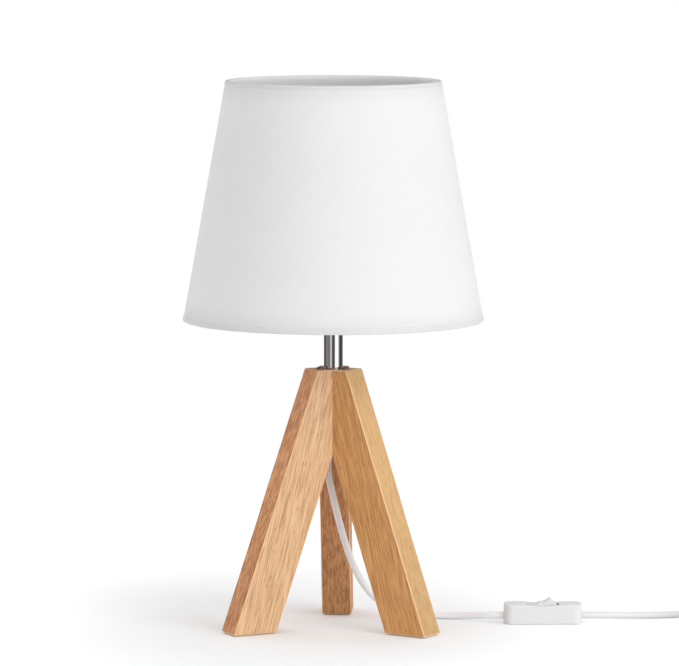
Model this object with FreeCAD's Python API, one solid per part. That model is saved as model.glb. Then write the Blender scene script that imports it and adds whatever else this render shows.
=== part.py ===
import FreeCAD, Part
import math
import os

# Tripod table lamp, in millimetres.  +Z is up, the origin is on the floor under the lamp's axis,
# and the back leg points along +Y.

V = FreeCAD.Vector
UP = V(0, 0, 1)
DOWN = V(0, 0, -1)
ORIGIN = V(0, 0, 0)

# ---- driving dimensions -------------------------------------------------------------------
overall_height = 400.0

# legs: three square-cut bars, mitred together on vertical planes
leg_angles = {"leg_back": 90.0, "leg_left": 210.0, "leg_right": 330.0}
leg_lean = 19.7
leg_width = 21.8
leg_depth = 32.4
leg_edge_round = 0.9
head_top = 190.4
head_radius = 18.0
pad_height = 1.0
pad_inset = 1.5
mitre_half_angle = 60.0

# hardware of the head
rod_radius = 4.9
rod_bore = 4.0
rod_low = 143.5
rod_high = 246.0
rod_hole = 5.2
seat_z = 152.0
seat_radius = 9.0
washer_radius = 8.5
washer_height = 1.2
nut_flats = 14.0
nut_height = 3.5
thread_gap = 0.05
plate_height = 1.5
plate_lobe_radius = 3.8
screw_circle = 10.6
screw_head_radius = 2.45
screw_head_height = 2.0
screw_shank_radius = 1.6
screw_length = 22.0
pilot_gap = 0.05

# stem
stem_radius = 6.85
stem_wall = 1.0
stem_length = 50.0

# lampholder
holder_low = head_top + stem_length
cap_height = 18.0
cap_radius = 19.2
cap_wall = 1.8
shoulder_radius = 22.6
shoulder_height = 3.0
body_radius = 19.6
body_height = 37.6
insert_radius = 16.6
insert_height = 9.5
shell_radius = 13.85
shell_wall = 0.4
terminal_offset = 9.5
terminal_width = 5.0
terminal_depth = 4.0
terminal_drop = 5.6
terminal_bore = 1.0

# ring nut on the lampholder
ring_gap = 0.2
ring_radius = 28.0
ring_height = 8.0
ring_band = 3.0
ring_neck_radius = 24.6
ring_flutes = 18
flute_radius = 1.5

# light source
bulb_radius = 30.0
bulb_cap_radius = 13.2
bulb_base = 270.8
bulb_tip_height = 1.6
bulb_cap_height = 22.0
bulb_housing_height = 58.0
bulb_housing_radius = 27.0
bulb_neck_radius = 12.0
bulb_top = 376.0
globe_wall = 1.0

# shade
shade_low = 225.7
shade_low_radius = 109.6
shade_high_radius = 78.6
hem_skin = 0.35
fabric_thickness = 0.5
liner_thickness = 0.6
ring_wire = 1.3
ring_wire_sides = 8
arm_wire = 1.4
wall_inset = 0.4
ring_inset = 0.5
wire_gap = 0.05
arm_angles = (30.0, 150.0, 270.0)
collar_height = 1.5
collar_bore = 20.2
collar_radius = 30.5

# cord
cord_radius = 2.6
lead_radius = 0.9
lead_spacing = 1.2

# inline switch
switch_place = V(153.2, 26.6, 0)
switch_turn = 3.0
switch_length = 57.7
switch_width = 20.4
switch_height = 14.7
switch_side_length = 54.4
switch_corner = 6.0
switch_top_round = 1.5
switch_foot_round = 1.0
switch_split = 5.7
scoop_depth = 1.2
scoop_radius = 100.0
switch_cavity_top = 11.0
cavity_half_length = 24.6
cavity_half_width = 8.6
floor_height = 1.5
opening_half_length = 11.9
opening_half_width = 5.8
rocker_pivot = 6.45
rocker_tilt = 18.0
rocker_half_length = 8.6
rocker_flare = 3.4
rocker_half_width = 5.4
rocker_tip = 10.2
rocker_ridge = 9.5
rocker_dip = 8.95
rocker_dip_place = 4.9
rocker_keel = 1.4
pin_radius = 1.2
running_gap = 0.05
screw_spots = ((20.4, 6.4), (-20.4, -6.4))
post_radius = 2.5
terminal_x = 14.8
clamp_x = 22.4

# plug with two round pins
plug_half_width = 17.65
plug_thickness = 13.7
plug_length = 30.0
relief_length = 20.0
plug_pin_radius = 2.0
plug_pin_length = 19.0
plug_pin_spacing = 19.0
plug_waist_width = 5.6
plug_waist_thickness = 5.0
plug_round = 3.2
relief_small_radius = 3.3
relief_large_radius = 4.4
relief_grooves = 4
groove_width = 1.6
groove_pitch = 4.0
sleeve_radius = 1.8
sleeve_length = 10.0
pin_core_radius = 1.4
pin_socket = 8.0

# cord routes: points of the cord's centre line, outside its coil
exit_z = 147.5
cord_clamp = 21.0


def on_switch(x, y, z):
    """A point given in the switch's own frame, x along the cord."""
    turn = math.radians(switch_turn)
    return V(switch_place.x + x * math.cos(turn) - y * math.sin(turn),
             switch_place.y + x * math.sin(turn) + y * math.cos(turn), z)


upper_route = [V(0, 0, exit_z), V(0, 0, 141), V(-2.8, 0.6, 128.2), V(-4.3, 2.4, 117),
               V(-2.9, 5.4, 106), V(0.9, 10.2, 88), V(5, 15.6, 70), V(10, 21.6, 51.5),
               V(17, 28.2, 33), V(28, 34.5, 16.4), V(45, 39.5, 5.5), V(66, 41.5, 2.6),
               V(88, 38, 2.8), V(103, 31.5, 4.2), V(114.5, 26.2, 5.4),
               on_switch(-31, 0, switch_split), on_switch(-cord_clamp, 0, switch_split)]

# put-away coil: a spiral in on the floor, a climb in the half turn where it reverses, a spiral out
coil_centre = V(304, 15.1, 0)
coil_low = 3.4
coil_pitch = 5.7
coil_small_radius = 20.5
coil_turns_in = 3.75
coil_turns_out = 3.5
coil_start_angle = 90.0
coil_straight = 6.0
tie_width = 6.0
tie_wall = 0.7
tie_angle = 225.0

coil_large_radius = coil_small_radius + coil_pitch * coil_turns_in
coil_entry = coil_centre + V(-coil_straight, coil_large_radius, coil_low)
lower_route = [on_switch(cord_clamp, 0, switch_split), on_switch(37, 0, switch_split),
               V(205, 36, 4.6), V(220, 44, 3.3), V(237.5, 50.5, 2.6), V(257, 54.5, 2.6),
               V(277.5, coil_entry.y, coil_low), coil_entry]

coil_exit_radius = coil_small_radius + coil_pitch * coil_turns_out
coil_exit = coil_centre + V(coil_exit_radius, -coil_straight, coil_low + coil_pitch)
plug_z = plug_thickness / 2
tail_route = [coil_exit, coil_exit + V(0, -7, 0), V(coil_exit.x + 0.6, coil_exit.y - 18, plug_z),
              V(coil_exit.x + 0.6, coil_exit.y - 26, plug_z)]


# ---- helpers --------------------------------------------------------------------------------
def save(name, *solids):
    """One sub-part: one solid, or a group of separate solids."""
    shape = solids[0] if len(solids) == 1 else Part.makeCompound(list(solids))
    shape.exportStep(os.path.join("parts", name + ".step"))
    print(f"{name:22s} solids {len(shape.Solids):2d}  volume {shape.Volume / 1000:9.3f} cm3"
          f"  valid {shape.isValid()}")
    return shape


def outline(steps, place):
    """Closed wire through 2-D steps; a step of two points is an arc through the first to the second."""
    edges = []
    here = steps[0]
    for step in steps[1:] + [steps[0]]:
        if isinstance(step[0], tuple):
            middle, end = step
            edges.append(Part.Arc(place(*here), place(*middle), place(*end)).toShape())
        else:
            end = step
            if end != here:
                edges.append(Part.LineSegment(place(*here), place(*end)).toShape())
        here = end
    return Part.Wire(edges)


def xz(x, z):
    return V(x, 0, z)


def turned(steps):
    """A solid of revolution about the Z axis from a profile of (radius, height) steps."""
    return Part.Face(outline(steps, xz)).revolve(ORIGIN, UP, 360).Solids[0]


def slab(steps, low, high):
    """A plan outline raised from low to high."""
    face = Part.Face(outline(steps, lambda x, y: V(x, y, low)))
    return face.extrude(V(0, 0, high - low))


def side_slab(steps, half_width):
    """An outline in the XZ plane, widened to both sides along Y."""
    face = Part.Face(outline(steps, lambda x, z: V(x, -half_width, z)))
    return face.extrude(V(0, 2 * half_width, 0))


def tube(radius, bore, low, high):
    return Part.makeCylinder(radius, high - low, V(0, 0, low)).cut(
        Part.makeCylinder(bore, high - low, V(0, 0, low)))


def box(x0, x1, y0, y1, z0, z1):
    return Part.makeBox(x1 - x0, y1 - y0, z1 - z0, V(x0, y0, z0))


def spun(shape, angle):
    copy = shape.copy()
    copy.rotate(ORIGIN, UP, angle)
    return copy


def polar(radius, angle, z=0.0):
    return V(radius * math.cos(math.radians(angle)), radius * math.sin(math.radians(angle)), z)


def straight_edges(shape, test):
    """Edges of a shape whose direction and middle pass a test."""
    chosen = []
    for edge in shape.Edges:
        ends = [vertex.Point for vertex in edge.Vertexes]
        if len(ends) == 2 and test(ends[1] - ends[0], edge.CenterOfMass):
            chosen.append(edge)
    return chosen


def unit(vector):
    return V(vector).multiply(1 / vector.Length)


def sweep_tube(path, start, heading, radius):
    """A round tube along a wire that starts at a point with a heading."""
    ring = Part.Wire(Part.makeCircle(radius, start, heading))
    return Part.Wire(path).makePipeShell([ring], True, False).Solids[0]


def routed_tube(name, route, radius):
    """Straight runs joined by tangent arcs, each arc as large as its two runs allow."""
    share = 0.45
    edges = []
    here = route[0]
    tightest = None
    for before, corner, after in zip(route, route[1:], route[2:]):
        come = unit(corner - before)
        go = unit(after - corner)
        half_turn = math.acos(max(-1.0, min(1.0, come.dot(go)))) / 2
        reach = share * min((corner - before).Length, (after - corner).Length)
        arc_radius = reach / math.tan(half_turn)
        first = corner - come * reach
        last = corner + go * reach
        middle_way = unit(go - come)
        depth = arc_radius * (1 / math.cos(half_turn) - 1)
        edges.append(Part.LineSegment(here, first).toShape())
        edges.append(Part.Arc(first, corner + middle_way * depth, last).toShape())
        here = last
        tightest = arc_radius if tightest is None else min(tightest, arc_radius)
    edges.append(Part.LineSegment(here, route[-1]).toShape())
    solid = sweep_tube(edges, route[0], route[1] - route[0], radius)
    length = sum(edge.Length for edge in edges)
    print(f"{name}: length {length:.1f}, least arc radius {tightest:.1f}, volume ratio "
          f"{solid.Volume / (math.pi * radius ** 2 * length):.4f}")
    return solid


def half_biarc(start, heading, end):
    """The arc that leaves a point along a heading and reaches an end point."""
    chord = end - start
    reach = chord.Length ** 2 / (2 * chord.dot(heading))
    corner = start + heading * reach
    cos_half = math.cos(chord.getAngle(heading))
    middle = corner + ((start + end) * 0.5 - corner) * (1 / (1 + cos_half))
    return Part.Arc(start, middle, end).toShape()


def biarc(start, start_way, end, end_way):
    """Two arcs that join two points with their given directions."""
    span = end - start
    ways = start_way + end_way
    bend = 2 * (1 - start_way.dot(end_way))
    along = span.dot(ways)
    reach = (-along + math.sqrt(along ** 2 + bend * span.dot(span))) / bend
    joint = (start + end + (start_way - end_way) * reach) * 0.5
    joint_way = unit((end - end_way * reach) - (start + start_way * reach))
    return [half_biarc(start, start_way, joint), half_biarc(joint, joint_way, end)]


# ---- legs -----------------------------------------------------------------------------------
leg_slope = math.tan(math.radians(leg_lean))
leg_span = leg_depth / math.cos(math.radians(leg_lean))


def outer_radius(z):
    """Distance from the axis to a leg's outer face."""
    return head_radius + (head_top - z) * leg_slope


def rounded_triangle(grow):
    """Plan of the screw plate: three lobes joined by straight sides."""
    radius = plate_lobe_radius + grow

    def lobe(angle, way):
        centre = polar(screw_circle, angle)
        point = centre + polar(radius, way)
        return (point.x, point.y)
    steps = []
    for angle in leg_angles.values():
        steps.append(lobe(angle, angle - 60))
        steps.append((lobe(angle, angle), lobe(angle, angle + 60)))
    return steps


def make_leg(angle):
    """A leaning bar, cut level at both ends and mitred against its two neighbours."""
    low = outer_radius(pad_height)
    bar = side_slab([(low, pad_height), (head_radius, head_top), (head_radius - leg_span, head_top),
                     (low - leg_span, pad_height)], leg_width / 2)
    bar = bar.makeFillet(leg_edge_round, bar.Edges)
    reach = 2 * low
    spread = reach * math.tan(math.radians(mitre_half_angle))
    wedge = slab([(0.0, 0.0), (reach, -spread), (reach, spread)], 0, overall_height)
    leg = spun(bar.common(wedge), angle)
    plate_pocket = slab(rounded_triangle(thread_gap), head_top - plate_height, overall_height)
    leg = leg.cut(plate_pocket)
    leg = leg.cut(Part.makeCylinder(rod_hole, overall_height, ORIGIN))
    leg = leg.cut(Part.makeCylinder(seat_radius, seat_z, ORIGIN))
    pilot = Part.makeCylinder(screw_shank_radius + pilot_gap, screw_length,
                              polar(screw_circle, angle, head_top), DOWN)
    return leg.cut(pilot).Solids[0]


def make_pads():
    """Felt pads, a little smaller than the feet."""
    outer = outer_radius(pad_height) - pad_inset
    inner = outer - leg_span + 2 * pad_inset
    half = leg_width / 2 - pad_inset
    pad = box(inner, outer, -half, half, 0, pad_height)
    uprights = straight_edges(pad, lambda way, middle: abs(way.z) > pad_height / 2)
    pad = pad.makeFillet(pad_inset, uprights)
    return [spun(pad, angle) for angle in leg_angles.values()]


def make_head_screw():
    """A domed screw, its head's underside at z 0 and its pointed shank below."""
    crown = 0.55 * screw_head_height
    dome_middle = (0.6 * screw_head_radius, 0.88 * screw_head_height)
    return turned([(0.0, screw_head_height), (dome_middle, (screw_head_radius, crown)),
                   (screw_head_radius, 0.0), (screw_shank_radius, 0.0),
                   (screw_shank_radius, 2 * screw_shank_radius - screw_length), (0.0, -screw_length)])


def placed(shape, place, yaw=0.0):
    copy = shape.copy()
    copy.rotate(ORIGIN, UP, yaw)
    copy.translate(place)
    return copy


def make_nut():
    """A hexagon nut with both rims turned off, between the washer and the rod's end."""
    low = seat_z - washer_height - nut_height
    corner = nut_flats / 2 / math.cos(math.radians(30))
    hexagon = [(polar(corner, 60 * step).x, polar(corner, 60 * step).y) for step in range(6)]
    nut = slab(hexagon, low, low + nut_height)
    rim = nut_flats / 2
    chamfer = 0.6
    blank = turned([(0.0, low), (rim, low), (corner, low + chamfer), (corner, low + nut_height - chamfer),
                    (rim, low + nut_height), (0.0, low + nut_height)])
    return nut.common(blank).cut(Part.makeCylinder(rod_radius + thread_gap, overall_height, ORIGIN))


for leg_name, leg_angle in leg_angles.items():
    save(leg_name, make_leg(leg_angle))
save("foot_pads", *make_pads())

screw_plate = slab(rounded_triangle(0.0), head_top - plate_height, head_top)
screw_plate = screw_plate.cut(Part.makeCylinder(rod_hole, overall_height, ORIGIN))
for leg_angle in leg_angles.values():
    screw_plate = screw_plate.cut(Part.makeCylinder(screw_shank_radius + pilot_gap, overall_height,
                                                    polar(screw_circle, leg_angle)))
save("screw_plate", screw_plate)
head_screw = make_head_screw()
save("head_screws", *[placed(head_screw, polar(screw_circle, angle, head_top))
                      for angle in leg_angles.values()])
save("threaded_rod", tube(rod_radius, rod_bore, rod_low, rod_high))
save("head_washer", tube(washer_radius, rod_radius + thread_gap, seat_z - washer_height, seat_z))
save("head_nut", make_nut())

# bushing: a sleeve in the rod's lower end with a trumpet mouth for the cord
bushing_flange = 6.2
bushing_height = 3.0
bushing_low = rod_low - bushing_height
throat = cord_radius + 0.35
bushing_round = 0.8
round_share = 1 - math.sqrt(0.5)
rim_middle = (bushing_flange - round_share * bushing_round, bushing_low + round_share * bushing_round)
mouth_middle = (throat + 0.5, bushing_low + bushing_height / 2)
save("rod_bushing", turned([
    (throat, exit_z), (rod_bore, exit_z), (rod_bore, rod_low), (bushing_flange, rod_low),
    (bushing_flange, bushing_low + bushing_round),
    (rim_middle, (bushing_flange - bushing_round, bushing_low)),
    (rod_radius, bushing_low), (mouth_middle, (throat, rod_low))]))

stem_bore = stem_radius - stem_wall
stem_break = 0.3
save("stem_tube", turned([
    (stem_bore, head_top), (stem_radius - stem_break, head_top), (stem_radius, head_top + stem_break),
    (stem_radius, holder_low - stem_break), (stem_radius - stem_break, holder_low),
    (stem_bore, holder_low)]))

# ---- lampholder -----------------------------------------------------------------------------
cap_top = holder_low + cap_height
cap_inner = cap_radius - cap_wall
cap_corner = 8.5
cap_floor = holder_low + cap_wall
cap_bore = rod_radius + thread_gap
hub_radius = rod_radius + 3.2
hub_top = holder_low + 6.5
outer_middle = (cap_radius - round_share * cap_corner, holder_low + round_share * cap_corner)
save("holder_cap", turned([
    (cap_bore, holder_low), (cap_radius - cap_corner, holder_low),
    (outer_middle, (cap_radius, holder_low + cap_corner)), (cap_radius, cap_top), (cap_inner, cap_top),
    (cap_inner, holder_low + cap_corner), (cap_radius - cap_corner, cap_floor), (hub_radius, cap_floor),
    (hub_radius, hub_top), (cap_bore, hub_top)]))

shoulder_top = cap_top + shoulder_height
body_top = cap_top + body_height
body_bore = shell_radius + 0.85
insert_low = cap_top + 0.6
insert_top = insert_low + insert_height
insert_seat = insert_radius + 0.3
ledge = insert_top + 1.2
rim_chamfer = 0.8
thread_relief = 0.5
relief_top = shoulder_top + 1.6
mouth_chamfer = 1.0
save("holder_body", turned([
    (insert_seat, cap_top), (shoulder_radius - rim_chamfer, cap_top),
    (shoulder_radius, cap_top + rim_chamfer), (shoulder_radius, shoulder_top),
    (body_radius - thread_relief, shoulder_top),
    (body_radius - thread_relief, relief_top), (body_radius, relief_top + thread_relief),
    (body_radius, body_top - mouth_chamfer), (body_radius - mouth_chamfer, body_top), (body_bore, body_top),
    (body_bore, ledge), (insert_seat, ledge)]))

terminal_low = insert_low - terminal_drop
pocket_top = insert_low + 4.0
pocket_gap = 0.2
recess_depth = 3.0
insert = Part.makeCylinder(insert_radius, insert_height, V(0, 0, insert_low))
insert = insert.cut(Part.makeCylinder(shell_radius + 0.1, recess_depth, V(0, 0, insert_top - recess_depth)))


def terminal_box(side, gap, low):
    """The room of one terminal, with a gap round it."""
    half = terminal_width / 2 + gap
    deep = terminal_depth / 2 + gap
    return box(side * terminal_offset - half, side * terminal_offset + half, -deep, deep, low, pocket_top)


for side in (-1, 1):
    insert = insert.cut(terminal_box(side, pocket_gap, insert_low))
save("holder_insert", insert)

screw_line = terminal_low + 2.2
screw_radius = 1.25
screw_head = 1.4
terminal_blocks = []
terminal_screws = []
for side in (-1, 1):
    wire_hole = Part.makeCylinder(terminal_bore, 4.0, V(side * terminal_offset, 0, terminal_low))
    mouth = V(side * terminal_offset, -terminal_depth / 2, screw_line)
    block = terminal_box(side, 0.0, terminal_low).cut(wire_hole)
    block = block.cut(Part.makeCylinder(screw_radius + thread_gap, terminal_depth / 2, mouth, V(0, 1, 0)))
    terminal_blocks.append(block)
    screw = Part.makeCylinder(screw_radius, terminal_depth / 2, mouth, V(0, 1, 0)).cut(wire_hole)
    head = Part.makeCylinder(1.5 * screw_radius, screw_head, mouth - V(0, screw_head, 0), V(0, 1, 0))
    terminal_screws.append(head.fuse(screw).removeSplitter())
save("holder_terminals", *terminal_blocks)
save("terminal_screws", *terminal_screws)

shell_low = insert_top - recess_depth
shell_top = body_top - 4.0
shell_floor_radius = 7.5
save("screw_shell", turned([
    (shell_floor_radius, shell_low), (shell_radius, shell_low), (shell_radius, shell_top),
    (shell_radius - shell_wall, shell_top), (shell_radius - shell_wall, shell_low + shell_wall),
    (shell_floor_radius, shell_low + shell_wall)]))

# centre contact: a bent spring strip, fixed at its foot and bowed up under the bulb
strip_thickness = 0.6
strip_half_width = 2.5
strip_foot = (-5.5, -1.5)
strip_crest = 2.8
strip_end = 4.7
contact_top = bulb_base - 0.3
save("centre_contact", side_slab([
    (strip_foot[0], shell_low), (strip_foot[1], shell_low), (strip_crest, contact_top - strip_thickness),
    (strip_end, contact_top - 2 * strip_thickness), (strip_end, contact_top - strip_thickness),
    (strip_crest, contact_top), (strip_foot[1] - strip_thickness, shell_low + strip_thickness),
    (strip_foot[0], shell_low + strip_thickness)], strip_half_width))

# ---- ring nut and light source ----------------------------------------------------------------
collar_low = shoulder_top + ring_gap
ring_low = collar_low + collar_height + ring_gap
ring_top = ring_low + ring_height
ring_bore = body_radius + ring_gap
ring_edge = 0.8
ring_nut = turned([
    (ring_bore, ring_low), (ring_radius, ring_low), (ring_radius, ring_low + ring_band - ring_edge),
    (ring_radius - ring_edge, ring_low + ring_band), (ring_neck_radius, ring_low + ring_band),
    (ring_neck_radius - ring_edge, ring_top - ring_edge), (ring_neck_radius - 2 * ring_edge, ring_top),
    (ring_bore, ring_top)])
for step in range(ring_flutes):
    middle = polar(ring_radius + flute_radius / 2, 360 / ring_flutes * step, ring_low)
    ring_nut = ring_nut.cut(Part.makeCylinder(flute_radius, ring_band, middle))
save("ring_nut", ring_nut)

# the bulb's cap: a domed centre contact, a black insulator and a rolled metal shell on the housing
tip_radius = 4.6
tip_top = bulb_base + bulb_tip_height
tip_rise = bulb_tip_height / 2
insulator_radius = 9.2
insulator_low = bulb_base + 3.2
insulator_top = insulator_low + 0.7
shell_start = bulb_base + 6.5
bulb_cap_top = tip_top + bulb_cap_height
housing_top = bulb_base + bulb_housing_height
housing_waist = (18.2, bulb_base + 42.0)
lip_radius = bulb_housing_radius - 1.4
lip_top = housing_top + 2.0
save("bulb_contact", turned([(0.0, bulb_base), ((0.57 * tip_radius, bulb_base + tip_rise / 4),
                                                (tip_radius, bulb_base + tip_rise)),
                             (tip_radius, tip_top), (0.0, tip_top)]))
save("bulb_insulator", turned([(tip_radius, bulb_base + tip_rise), (insulator_radius, insulator_low),
                               (insulator_radius, insulator_top), (0.0, insulator_top), (0.0, tip_top),
                               (tip_radius, tip_top)]))
save("bulb_cap", turned([
    (insulator_radius, insulator_low), (bulb_cap_radius - 1.8, insulator_low + 0.4),
    (bulb_cap_radius, shell_start), (bulb_cap_radius, bulb_cap_top), (bulb_neck_radius, bulb_cap_top),
    (bulb_neck_radius, shell_start), (bulb_neck_radius - 1.2, insulator_top + 0.9),
    (insulator_radius, insulator_top)]))
save("bulb_housing", turned([
    (0.0, shell_start), (bulb_neck_radius, shell_start), (bulb_neck_radius, bulb_cap_top),
    (bulb_cap_radius, bulb_cap_top), (housing_waist, (bulb_housing_radius, housing_top)),
    (lip_radius, housing_top), (lip_radius, lip_top), (0.0, lip_top)]))
globe_low = housing_top
globe_middle = bulb_top - bulb_radius
globe_bore = bulb_radius - globe_wall
globe_waist = globe_low + 8.5


def on_dome(radius):
    """Half way up a quarter circle about the globe's middle."""
    return (radius * math.cos(math.pi / 4), globe_middle + radius * math.sin(math.pi / 4))


save("bulb_globe", turned([
    (bulb_housing_radius - globe_wall, globe_low), (bulb_housing_radius, globe_low),
    ((bulb_radius - 0.7, globe_waist), (bulb_radius, globe_middle)),
    (on_dome(bulb_radius), (0.0, bulb_top)), (0.0, bulb_top - globe_wall),
    (on_dome(globe_bore), (globe_bore, globe_middle)),
    ((globe_bore - 0.7, globe_waist), (bulb_housing_radius - globe_wall, globe_low))]))

# ---- shade ------------------------------------------------------------------------------------
shade_slope = (shade_low_radius - shade_high_radius) / (overall_height - shade_low)


def fabric_radius(z):
    """Outside of the fabric, which the hem tapes lap over."""
    return shade_low_radius - hem_skin - (z - shade_low) * shade_slope


def cone_shell(skin, thickness, low, high):
    """A conical skin whose outside lies skin inside the fabric's outside."""
    return turned([(fabric_radius(low) - skin - thickness, low), (fabric_radius(low) - skin, low),
                   (fabric_radius(high) - skin, high), (fabric_radius(high) - skin - thickness, high)])


wall_low = shade_low + wall_inset
wall_high = overall_height - wall_inset
wall = fabric_thickness + liner_thickness
shade_fabric = cone_shell(0.0, fabric_thickness, wall_low, wall_high)
shade_liner = cone_shell(fabric_thickness, liner_thickness, wall_low, wall_high)
low_ring_z = shade_low + ring_inset + ring_wire
high_ring_z = overall_height - ring_inset - ring_wire
low_ring_radius = fabric_radius(low_ring_z + ring_wire) - wall - ring_wire - wire_gap
high_ring_radius = fabric_radius(high_ring_z + ring_wire) - wall - ring_wire - wire_gap


def wire_ring(radius, z):
    """The wire inside a hem, its round section as a many-sided one."""
    corners = [polar(ring_wire, 360 / ring_wire_sides * (step + 0.5)) for step in range(ring_wire_sides)]
    return turned([(radius + corner.x, z + corner.y) for corner in corners])


low_ring = wire_ring(low_ring_radius, low_ring_z)
high_ring = wire_ring(high_ring_radius, high_ring_z)


def hem(edge_z, inward, band, lap, wire_radius):
    """A tape folded over a wall edge and its wire; inward is +1 above the edge, -1 below it."""
    def at(skin, rise):
        z = edge_z + inward * rise
        return (fabric_radius(z) - skin, z)
    fold = 0.6
    tape = 0.4
    over = 2 * ring_wire + fold
    inner = wall + over
    room = wire_radius - ring_wire - wire_gap
    return turned([
        at(-hem_skin, band), at(-hem_skin, fold), at(fold / 2, 0.0), at(inner - 1.5 * fold, 0.0),
        at(inner, 1.5 * fold), at(inner, 4 * fold), at(wall + tape, 2 * over), at(wall + tape, lap),
        at(wall, lap), at(wall, 2 * over - 2 * tape), (room, edge_z + inward * over),
        (room, edge_z + inward * wall_inset), at(0.0, wall_inset), at(0.0, band)])


def make_arm():
    """A bent wire from the lower ring up to the collar, which it is welded to."""
    collar_middle = collar_low + collar_height / 2
    weld = 1.5
    level_run = 5.5
    foot_run = 9.0
    foot_rise = 0.8
    route = [V(collar_radius - weld, 0, collar_middle), V(collar_radius + level_run, 0, collar_middle),
             V(low_ring_radius - foot_run, 0, low_ring_z + foot_rise), V(low_ring_radius, 0, low_ring_z)]
    return routed_tube("arm", route, arm_wire)


collar = tube(collar_radius, collar_bore, collar_low, collar_low + collar_height)
arm = make_arm().cut(low_ring).cut(collar).Solids[0]
arms = [spun(arm, arm_angle) for arm_angle in arm_angles]
low_hem_band = 4.5
high_hem_band = 3.0
hem_lap = 9.0
low_hem = hem(shade_low, 1, low_hem_band, hem_lap, low_ring_radius)
for arm in arms:
    low_hem = low_hem.cut(arm)
save("shade_fabric", shade_fabric)
save("shade_liner", shade_liner)
save("shade_low_ring", low_ring)
save("shade_top_ring", high_ring)
save("shade_low_hem", low_hem)
save("shade_top_hem", hem(overall_height, -1, high_hem_band, hem_lap, high_ring_radius))
save("shade_collar", collar)
save("shade_arms", *arms)

# ---- cord -------------------------------------------------------------------------------------
inner_cord_top = rod_high + 2.0
save("cord_inner", Part.makeCylinder(cord_radius, inner_cord_top - exit_z, V(0, 0, exit_z)))
lead_bend = (terminal_low - inner_cord_top) / 2
leads = []
for side in (-1, 1):
    lead_route = [V(side * lead_spacing, 0, inner_cord_top),
                  V(side * lead_spacing, 0, inner_cord_top + lead_bend),
                  V(side * terminal_offset, 0, terminal_low - lead_bend),
                  V(side * terminal_offset, 0, terminal_low)]
    leads.append(routed_tube("lead", lead_route, lead_radius))
save("inner_leads", *leads)

save("cord_upper", routed_tube("cord_upper", upper_route, cord_radius))
save("cord_lower", routed_tube("cord_lower", lower_route, cord_radius))
save("cord_tail", routed_tube("cord_tail", tail_route, cord_radius))


def coil_point(turns):
    """Centre of the cord after a number of turns, wound clockwise from its start angle."""
    past = turns - coil_turns_in
    radius = coil_small_radius + coil_pitch * abs(past)
    climbed = max(0.0, min(1.0, 0.5 + 2 * past))
    rise = coil_pitch * (1 - math.cos(math.pi * climbed)) / 2
    return coil_centre + polar(radius, coil_start_angle - 360 * turns, coil_low + rise)


def coil_heading(turns, first, last):
    """Direction along the coil; square to the radius at its two ends and where it reverses."""
    if turns in (first, coil_turns_in, last):
        flat = polar(1, coil_start_angle - 360 * turns - 90)
        step = 0.01
        climb = coil_point(turns + step).z - coil_point(turns - step).z if first < turns < last else 0
        travel = (coil_point(turns + step) - coil_point(turns - step)).Length
        return unit(flat + V(0, 0, climb / travel))
    step = 0.001
    return unit(coil_point(turns + step) - coil_point(turns - step))


def make_coil():
    """The cord's whole put-away length as one tube: two layers of a flat spiral."""
    total = coil_turns_in + coil_turns_out
    marks = [step / 2 for step in range(math.ceil(2 * total))]
    marks = sorted(marks + [coil_turns_in, total])
    points = [coil_point(mark) for mark in marks]
    ways = [coil_heading(mark, marks[0], marks[-1]) for mark in marks]
    start = points[0] - ways[0] * coil_straight
    end = points[-1] + ways[-1] * coil_straight
    edges = [Part.LineSegment(start, points[0]).toShape()]
    for step in range(len(marks) - 1):
        edges += biarc(points[step], ways[step], points[step + 1], ways[step + 1])
    edges.append(Part.LineSegment(points[-1], end).toShape())
    solid = sweep_tube(edges, start, ways[0], cord_radius)
    length = sum(edge.Length for edge in edges)
    sample_step = 1.5
    samples = []
    for edge in edges:
        count = max(2, round(edge.Length / sample_step))
        samples += edge.discretize(count)[:-1]
    run = [0.0]
    for one, other in zip(samples, samples[1:]):
        run.append(run[-1] + (other - one).Length)
    near = min((samples[j] - samples[i]).Length
               for i in range(len(samples)) for j in range(i + 1, len(samples))
               if run[j] - run[i] > 8 * cord_radius)
    tightest = min(edge.Curve.Radius for edge in edges if hasattr(edge.Curve, "Radius"))
    print(f"cord_coil: length {length:.1f}, least radius {tightest:.1f}, least gap to itself "
          f"{near - 2 * cord_radius:.2f}, volume ratio "
          f"{solid.Volume / (math.pi * cord_radius ** 2 * length):.4f}")
    return solid


save("cord_coil", make_coil())


def make_tie():
    """A strap round all the turns at one place."""
    slack = 0.4
    corner = 3.0
    inner = coil_small_radius - cord_radius - slack
    outer = coil_large_radius + cord_radius + slack
    top = coil_low + coil_pitch + cord_radius + slack
    loop = box(inner - tie_wall, outer + tie_wall, -tie_width / 2, tie_width / 2, 0, top + tie_wall)
    long_edges = straight_edges(loop, lambda way, middle: abs(way.y) > tie_width / 2)
    loop = loop.makeFillet(corner, long_edges)
    hole = box(inner, outer, -tie_width, tie_width, tie_wall, top)
    long_edges = straight_edges(hole, lambda way, middle: abs(way.y) > tie_width)
    hole = hole.makeFillet(corner - tie_wall, long_edges)
    return placed(loop.cut(hole), coil_centre, tie_angle)


save("cord_tie", make_tie())

# ---- inline switch ------------------------------------------------------------------------------
def switch_part(shape):
    return placed(shape, switch_place, switch_turn)


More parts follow.
